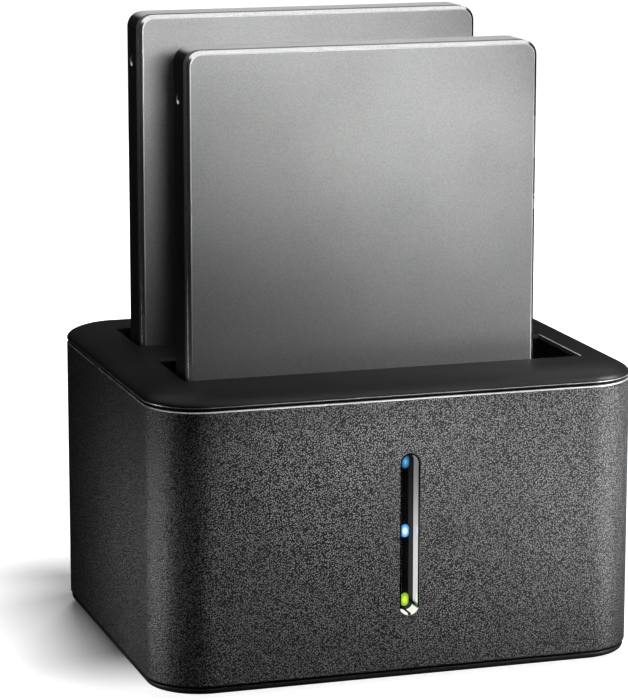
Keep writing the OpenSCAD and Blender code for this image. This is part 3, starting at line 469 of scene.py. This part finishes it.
def cross_screw(name, length):
    """A pan-head screw with its seat at the origin, its shank up and a cross recess in its head."""
    outer = [(0, -head_h), (head_r * 0.62, -head_h), (head_r * 0.86, -head_h * 0.86),
             (head_r * 0.98, -head_h * 0.5), (head_r, -head_h * 0.12), (head_r * 0.97, 0), (shank_r, 0)]
    ridges, overshoot = 12, 0.0002
    pitch = length / ridges
    for k in range(ridges):
        outer += [(shank_r, k * pitch + pitch * 0.2), (shank_r * 0.86, k * pitch + pitch * 0.6)]
    outer += [(shank_r * 0.8, length - pitch * 0.4), (0, length)]
    body = bpy.data.objects.new(name, lathe(name, outer, 32))
    scene.collection.objects.link(body)
    punch = cross_punch(head_r * 0.58, head_r * 0.15, -head_h - overshoot, -head_h * 0.4)
    cut = body.modifiers.new("cross", "BOOLEAN")
    cut.object = punch
    cut.operation = "DIFFERENCE"
    cut.use_self = True
    bpy.context.view_layer.update()
    done = bpy.data.meshes.new_from_object(body.evaluated_get(bpy.context.evaluated_depsgraph_get()))
    bpy.data.objects.remove(body)
    bpy.data.objects.remove(punch)
    for polygon in done.polygons:
        polygon.use_smooth = True
    done.set_sharp_from_angle(angle=radians(35))
    return done


zinc = metal("zinc_plate", 5000, tone(0.42, 0.42, 0.43), tone(0.66, 0.66, 0.68), 0.24, 0.38, 0.000006)
UPSIDE_DOWN = (pi, 0, 0)
for kind, x_shares, y_shares, lean in (("base", (-1, 0, 1), (0,), UPRIGHT), ("bezel", (-1, 1), (0,), UPRIGHT),
                                       ("board", (-1, 1), (-1, 1), UPSIDE_DOWN)):
    low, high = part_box(f"{kind}_screws")
    seat_z = low.z + head_h if lean == UPRIGHT else high.z - head_h
    screw = cross_screw(f"{kind}_screw", high.z - low.z - head_h)
    screw_places = [((x * (high.x - head_r), y * (high.y - head_r), seat_z), lean)
                    for x in x_shares for y in y_shares]
    screws = set_pieces(f"cross_{kind}_screws", screw, screw_places, zinc)
    fit(screws, [], "dock", "screw_steel", f"{kind}_screws")


# Main shell: the sleeve of the dock, one moulding with round upright corners and a coarse spark grain from
# the tool. It is open above and below, and holds the light strip in front and the ports behind.
def trim(piece, rule):
    """Gives the faces that a rule on (middle, normal) picks the piece's second finish."""
    for polygon in piece.data.polygons:
        if rule(polygon.center, polygon.normal):
            polygon.material_index = 1


def slanted(part):
    """Whether one part of a face's normal is that of a chamfer."""
    return 0.3 < part < 0.95


casing_plastic = moulded("spark_grained_casing", 3700, tone(0.002), tone(0.345), 0.34, 0.40, 0.00008)
painted_seam_highlight = metal("seam_painted_highlight", 3000, tone(0.62), tone(0.80), 0.24, 0.34, 0.000002, Metallic=0.5)
shell_top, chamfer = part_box("main_shell")[1].z, 0.0003
shell = dress("main_shell", "grained_shell", 0.00005)
# Painted highlight: the chamfer along the shell's top edge takes a light metallic tone that stands for a
# bright line at the seam.
trim(shell, lambda middle, normal: middle.z > shell_top - chamfer and slanted(normal.z))
fit(shell, [casing_plastic, painted_seam_highlight], "dock", "casing", "main_shell")


# Inner frame and bay wells: plain black mouldings inside the casing. The wells are the open boxes that the
# drives stand in, clamped between the bezel and the frame's beam.
def finish_solid(node, finish):
    """Gives a plain solid its finish and leaves its shape as it is."""
    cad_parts[node].material_slots[0].material = finish


well_plastic = moulded("well_plastic", 1500, tone(0.008, 0.008, 0.009), tone(0.020, 0.020, 0.021), 0.45, 0.6,
                       0.00004)
finish_solid("inner_frame", well_plastic)
for bay in ("front", "rear"):
    well = dress(f"{bay}_bay_well", f"{bay}_well_box", 0.00025)
    fit(well, [well_plastic], "dock", "inner_plastic", f"{bay}_bay_well")


# Top bezel: the smooth satin rim around the two slots, with a rounded shoulder that meets the shell at a
# thin shadow line. It is held from below by screws through the inner frame.
def burnish(piece, width, index, rule):
    """Rounds the edges that a rule on (middle, normal, normal) picks, and gives the rounding one finish."""
    shape = bmesh.new()
    shape.from_mesh(piece.data)
    picked = [edge for edge in shape.edges if len(edge.link_faces) == 2 and rule(
        (edge.verts[0].co + edge.verts[1].co) / 2, *(face.normal for face in edge.link_faces))]
    bmesh.ops.bevel(shape, geom=picked, offset=width, segments=2, profile=0.5, affect="EDGES", material=index,
                    clamp_overlap=True)
    for face in shape.faces:
        face.smooth = True
    shape.to_mesh(piece.data)
    shape.free()


bezel_plastic = moulded("satin_bezel", 5200, tone(0.010), tone(0.014), 0.38, 0.44, 0.000008,
                        Specular_IOR_Level=0.2)
seam, highlight_band, slot_reach = 0.0004, 0.00045, 0.042
corner_x, corner_y, wall_r = 0.038, 0.030, 0.010


def slot_end_edge(middle, one, two):
    """An edge between the bezel's top and a slope that faces left, at the right end of a slot."""
    slope = slanted(min(one.z, two.z)) and min(one.x, two.x) < -0.3
    return max(one.z, two.z) > 0.98 and slope and abs(middle.x) < slot_reach


def seam_wall(middle, normal):
    """The lowest strip of the bezel's outer wall, just above the seam."""
    outside = Vector((max(abs(middle.x) - corner_x, 0), max(abs(middle.y) - corner_y, 0))).length > wall_r
    return shell_top + seam < middle.z < shell_top + seam + highlight_band and abs(normal.z) < 0.3 and outside


rim = dress("top_bezel", "satin_rim", 0.00005)
# Painted highlight: the rounded right ends of the slots and the strip just above the seam take the same light
# metallic tone.
burnish(rim, 0.00010, 1, slot_end_edge)
trim(rim, seam_wall)
fit(rim, [bezel_plastic, painted_seam_highlight], "dock", "bezel", "top_bezel")


# Light strip: a plated liner around a slot in the front, and a glossy black lens at its bottom with
# three windows: one blue light for each bay and a green one for power. The liner's light is painted: a glow
# in its plating paints bright walls and two glints at the slot's foot.
# Two copies of the plating, a dark one for the front ring and a lighter one for the walls, both with painted
# glints.
glint_painted_plating = metal("dark_plating_painted_glints", 900, tone(0.02), tone(0.05), 0.16, 0.24, 0.000001, Emission_Strength=0.9)
painted_lit_wall = metal("painted_lit_plating", 900, tone(0.40, 0.41, 0.42), tone(0.50, 0.50, 0.51), 0.16, 0.24, 0.000001,
                 Emission_Strength=0.8)
liner_low, liner_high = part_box("light_liner")
liner_middle, flange = (liner_low.x + liner_high.x) / 2, 0.00155
strip_low, strip_high = liner_low.z + flange, liner_high.z - flange
fade_from, fade_to = strip_low + 0.010, strip_high - 0.001
end_dark, end_lit = strip_low + 0.0014, strip_low + 0.0022
glint_top, glint_full = strip_low + 0.0011, strip_low + 0.0008
glint_in, glint_out = 0.0002, 0.0004
# Painted light: the emission paints a bright wall that fades upwards and goes dark at the round end, and two
# glints at the slot's foot.
for finish, low_level, high_level in ((glint_painted_plating, 0.0, 0.0), (painted_lit_wall, 0.85, 0.24)):
    tree = finish.node_tree
    along = put(tree, "ShaderNodeSeparateXYZ", {0: object_place(tree)}).outputs
    upper = span(tree, along["Z"], fade_from, fade_to)
    wall = tint_between(tree, upper, tone(low_level), tone(high_level))
    round_end = span(tree, along["Z"], end_dark, end_lit)
    wall = tint_between(tree, round_end, tone(0), wall)
    aside = calc(tree, "ABSOLUTE", calc(tree, "SUBTRACT", along["X"], liner_middle))
    painted_glint = calc(tree, "MULTIPLY", span(tree, aside, glint_in, glint_out),
                 span(tree, along["Z"], glint_top, glint_full))
    tree.links.new(tint_between(tree, painted_glint, wall, tone(1)),
                   tree.nodes["Principled BSDF"].inputs["Emission Color"])
liner = dress("light_liner", "bright_liner", 0.00005)
trim(liner, lambda middle, normal: abs(normal.y) < 0.5)
fit(liner, [glint_painted_plating, painted_lit_wall], "dock", "liner_chrome", "light_liner")

lens_gloss, tree, shader = blank_finish("gloss_lens", IOR=1.5, Specular_IOR_Level=0.6)
smoke = put(tree, "ShaderNodeTexNoise", {"Vector": object_place(tree), "Scale": 300.0, "Detail": 3.0})
lens_tint = tint_between(tree, smoke.outputs["Fac"], tone(0.002, 0.002, 0.003), tone(0.006, 0.006, 0.008))
tree.links.new(lens_tint, shader.inputs["Base Color"])
tree.links.new(span(tree, smoke.outputs["Fac"], 0.2, 0.8, 0.05, 0.12), shader.inputs["Roughness"])
fit(dress("light_lens", "gloss_lens_strip", 0), [lens_gloss], "dock", "lens_black", "light_lens")


def lit_window(name, node, slot, core, rim, strength):
    """A light window: a hot core that falls off to a deeper colour at the window's edge."""
    low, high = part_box(node)
    narrow, reach = 1.6, 0.0014
    finish, tree, shader = blank_finish(name, Roughness=0.18, Emission_Strength=strength)
    centred = put(tree, "ShaderNodeMapping",
                  {"Vector": object_place(tree), "Location": tuple(-(low + high) / 2)}).outputs[0]
    flat = put(tree, "ShaderNodeVectorMath", {0: centred, 1: (narrow, 0, 1)}, operation="MULTIPLY").outputs[0]
    away = put(tree, "ShaderNodeVectorMath", {0: flat}, operation="LENGTH").outputs["Value"]
    fall = calc(tree, "POWER", span(tree, away, 0.0, reach), 0.5)
    shade = tint_between(tree, fall, core, rim)
    tree.links.new(shade, shader.inputs["Emission Color"])
    tree.links.new(shade, shader.inputs["Base Color"])
    fit(dress(node, name, 0.0002, 3), [finish], "dock", slot, node)


lit_window("front_bay_glow", "front_bay_light", "blue_light",
           tone(0.15, 0.50, 0.75), tone(0.005, 0.07, 0.20), 1.0)
lit_window("rear_bay_glow", "rear_bay_light", "blue_light",
           tone(0.90, 1.0, 1.0), tone(0.0, 0.16, 0.42), 1.3)
lit_window("power_glow", "power_light", "green_light",
           tone(0.70, 0.95, 0.04), tone(0.12, 0.28, 0.01), 1.0)


# Boards: glass-fibre boards under green solder mask, with copper tracks that show as lighter lines. The main
# board lies on the tray's standoffs, and the light board stands on it behind the lens.
board_tracks, given, made = finish_group(
    "board_tracks", [("Pitch", NUMBER, 700.0), ("Mask", COLOUR, tone(0.005, 0.06, 0.03)),
                     ("Track", COLOUR, tone(0.012, 0.12, 0.055))])
mask_roughness, track_roughness, track_relief = 0.38, 0.28, 0.00003
place = object_place(board_tracks)
runs = put(board_tracks, "ShaderNodeTexBrick", {"Vector": place, "Scale": given["Pitch"], "Mortar Size": 0.06,
                                                "Brick Width": 2.2, "Row Height": 0.5})
areas = put(board_tracks, "ShaderNodeTexVoronoi", {"Vector": place, "Scale": 180.0}, distance="MANHATTAN")
pour = span(board_tracks, areas.outputs["Distance"], 0.32, 0.36)
copper = calc(board_tracks, "MAXIMUM", runs.outputs["Fac"], pour)
hand_out(board_tracks, made, copper, (given["Mask"], given["Track"]),
         copper, (mask_roughness, track_roughness), copper)


def board_finish(name, pitch, mask, track):
    return coated(name, board_tracks, {"Pitch": pitch, "Mask": mask, "Track": track}, track_relief)


dock_board = board_finish("dock_solder_mask", 420, tone(0.004, 0.055, 0.028), tone(0.012, 0.13, 0.06))
for node in ("main_board", "light_board"):
    finish_solid(node, dock_board)
emitter_resin = moulded("emitter_resin", 1200, tone(0.72, 0.66, 0.42), tone(0.85, 0.80, 0.60), 0.25, 0.35,
                        0.000004)
finish_solid("light_emitters", emitter_resin)


# Pieces on the main board: a bridge chip, regulators, coils, capacitors and a crystal, soldered down, each in
# the finish of its own can or moulding.
chip_epoxy = moulded("chip_epoxy", 2600, tone(0.010, 0.010, 0.011), tone(0.026, 0.026, 0.027), 0.5, 0.62,
                     0.00001)
coil_core = moulded("coil_core", 1800, tone(0.035, 0.035, 0.037), tone(0.085, 0.085, 0.088), 0.6, 0.75,
                    0.00002)
can_sleeve = metal("aluminium_can", 3000, tone(0.55, 0.55, 0.56), tone(0.74, 0.74, 0.75), 0.25, 0.4, 0.000004,
                   (1, 1, 8))
for node, finish in (("bridge_chip", chip_epoxy), ("power_regulators", chip_epoxy),
                     ("power_coils", coil_core), ("capacitors", can_sleeve), ("clock_crystal", can_sleeve)):
    finish_solid(node, finish)


# Drive sockets: black moulded connectors that stand up through the floors of the bays, with gold-plated
# spring contacts in their grooves. The rear one stands on a riser, because its bay is higher.
connector_plastic = moulded("connector_plastic", 2400, tone(0.010, 0.010, 0.011), tone(0.022, 0.022, 0.023),
                            0.4, 0.5, 0.00001)
gold_plate = metal("gold_plate", 6000, tone(0.78, 0.52, 0.18), tone(0.95, 0.70, 0.30), 0.18, 0.3, 0.000002)
for bay in ("front", "rear"):
    socket = dress(f"{bay}_socket", f"{bay}_socket_body", 0.00008)
    fit(socket, [connector_plastic], "dock", "connector_black", f"{bay}_socket")
    finish_solid(f"{bay}_socket_contacts", gold_plate)
finish_solid("rear_socket_riser", connector_plastic)


# Ports in the back panel: a folded steel USB socket with a blue insulator in it, and a round power inlet with
# a steel pin. Both are soldered to the main board and reach the panel's face.
drawn_steel = metal("drawn_steel", 2600, tone(0.50, 0.50, 0.51), tone(0.70, 0.70, 0.71), 0.22, 0.36, 0.000004,
                    (1, 0.08, 1))
fit(dress("usb_socket", "folded_usb_shell", 0.00012), [drawn_steel], "dock", "port_metal", "usb_socket")
usb_plastic = moulded("usb_insulator", 2200, tone(0.008, 0.055, 0.30), tone(0.015, 0.09, 0.42), 0.38, 0.48,
                      0.00001)
fit(dress("usb_tongue", "usb_insulator", 0.00012), [usb_plastic], "dock", "usb_blue", "usb_tongue")
inlet = dress("power_inlet", "moulded_inlet", 0.0002, 3)
fit(inlet, [connector_plastic], "dock", "connector_black", "power_inlet")
fit(dress("power_inlet_pin", "inlet_pin", 0.0004, 4), [drawn_steel], "dock", "port_metal", "power_inlet_pin")


# Buttons: round moulded caps in the back panel with a shallow dish for the fingertip, each on a white plunger
# that runs in its switch on the main board. The collar behind the panel keeps a cap from falling out.
button_plastic = moulded("button_plastic", 4200, tone(0.016, 0.016, 0.017), tone(0.030, 0.030, 0.031),
                         0.4, 0.48, 0.00001)
plunger_plastic = moulded("plunger_plastic", 1500, tone(0.66, 0.66, 0.63), tone(0.80, 0.80, 0.77),
                          0.4, 0.5, 0.000008)
collar, TO_BACK = 0.0008, (-pi / 2, 0, 0)
lip = [(0, 0.00040), (0.00010, 0.00014), (0.00030, 0), (0.00055, 0.00004)]
dish = [(0.70, 0.00022), (0.45, 0.00040), (0.2, 0.00048), (0, 0.00050)]
for kind in ("power", "clone"):
    low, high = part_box(f"{kind}_button")
    cap_r, cap_h = (high.x - low.x) / 2 - collar, high.y - low.y
    cap_mesh = lathe(f"{kind}_cap", [
        (0, 0), (cap_r + collar, 0), (cap_r + collar, collar), (cap_r, collar),
        *[(cap_r - inset, cap_h - drop) for inset, drop in lip],
        *[(cap_r * share, cap_h - drop) for share, drop in dish]], 64)
    cap_place = ((low.x + high.x) / 2, low.y, (low.z + high.z) / 2)
    cap = set_pieces(f"{kind}_cap", cap_mesh, [(cap_place, TO_BACK)], button_plastic)
    fit(cap, [], f"{kind}_button_body", "button", f"{kind}_button")
    finish_solid(f"{kind}_plunger", plunger_plastic)
    finish_solid(f"{kind}_switch", connector_plastic)


# Drives: a cast and painted case with threaded holes, closed in front by a bead-blasted aluminium cover with
# a bright cut chamfer around it. The board, its plug and the gold contacts are inside and at the lower end.
blasted = metal("blasted_cover", 5200, tone(0.22), tone(0.32), 0.42, 0.44, 0.000006, Metallic=0.6)
bright_cut = metal("bright_cut_edge", 2400, tone(0.78), tone(0.90), 0.22, 0.30, 0.000002)
burnished = metal("burnished_line", 3000, tone(0.52), tone(0.62), 0.3, 0.4, 0.000001, Metallic=0.3)
back_plate = metal("anodised_back", 5200, tone(0.050, 0.050, 0.052), tone(0.085, 0.085, 0.087), 0.38, 0.46,
                   0.000006, Metallic=0.0)
drive_mask = board_finish("drive_solder_mask", 520, tone(0.004, 0.05, 0.03), tone(0.012, 0.11, 0.06))

thread_r, thread_depth, thread_pitch, thread_turns = 0.00125, 0.00016, 0.0005, 4
thread_start, wall_gap, root_gap = 0.0001, 0.00001, 0.00003
profile = [(thread_r - wall_gap, thread_start)]
for k in range(thread_turns):
    profile += [(thread_r - thread_depth, thread_start + thread_pitch * (k + 0.5)),
                (thread_r - root_gap, thread_start + thread_pitch * (k + 1))]
thread_mesh = lathe("thread", profile + [(thread_r - wall_gap, profile[-1][1]), profile[0]], 24)
low_hole, high_hole, side_hole, back_hole = 0.014, 0.0094, 0.003, 0.00407
TO_RIGHT, TO_LEFT, TO_FRONT = (0, pi / 2, 0), (0, -pi / 2, 0), (pi / 2, 0, 0)


def case_paint_and_highlight(name, top_z):
    """Black case paint with a painted highlight: the colour turns light grey towards the top edge."""
    highlight_from, highlight_to, highlight_grey = top_z - 0.0010, top_z - 0.0001, 0.75
    finish = moulded(name, 3600, tone(0.004), tone(0.012), 0.36, 0.44, 0.000004)
    tree = finish.node_tree
    colour = tree.nodes["Principled BSDF"].inputs["Base Color"]
    along = put(tree, "ShaderNodeSeparateXYZ", {0: object_place(tree)}).outputs["Z"]
    # Painted highlight: a light grey band along the case's top edge.
    top_highlight = span(tree, along, highlight_from, highlight_to)
    tree.links.new(tint_between(tree, top_highlight, colour.links[0].from_socket, tone(highlight_grey)), colour)
    return finish


def drive_holes(low, high):
    """Where the screw holes of a case start, with the way in: two in each side and four in the back."""
    holes = []
    for z in (low.z + low_hole, high.z - high_hole):
        holes += [((low.x, high.y - side_hole, z), TO_RIGHT), ((high.x, high.y - side_hole, z), TO_LEFT)]
        holes += [((x, high.y, z), TO_FRONT) for x in (low.x + back_hole, high.x - back_hole)]
    return holes


def face_edge(middle, one, two):
    """An edge between a cover's face and its chamfer."""
    return min(one.y, two.y) < -0.98 and slanted(-max(one.y, two.y))


for bay in ("front", "rear"):
    body = f"{bay}_drive"
    low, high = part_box(f"{body}_case")
    case = dress(f"{body}_case", f"{body}_tray", 0.00015)
    trim(case, lambda middle, normal: normal.y > 0.9)
    fit(case, [case_paint_and_highlight(f"{bay}_case_paint_and_highlight", high.z), back_plate], body, "drive_case", f"{body}_case")
    threads = set_pieces(f"{body}_threads", thread_mesh, drive_holes(low, high), zinc)
    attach(threads, body)
    cover = dress(f"{body}_cover", f"{body}_lid", 0.00012, 3)
    trim(cover, lambda middle, normal: slanted(-normal.y))
    burnish(cover, 0.00012, 2, face_edge)
    fit(cover, [blasted, bright_cut, burnished], body, "drive_cover", f"{body}_cover")
    plug = dress(f"{body}_plug", f"{body}_plug_shell", 0.00008)
    fit(plug, [connector_plastic], body, "connector_black", f"{body}_plug")
    for node, finish in (("board", drive_mask), ("board_screws", zinc), ("chips", chip_epoxy),
                         ("contacts", gold_plate)):
        finish_solid(f"{body}_{node}", finish)
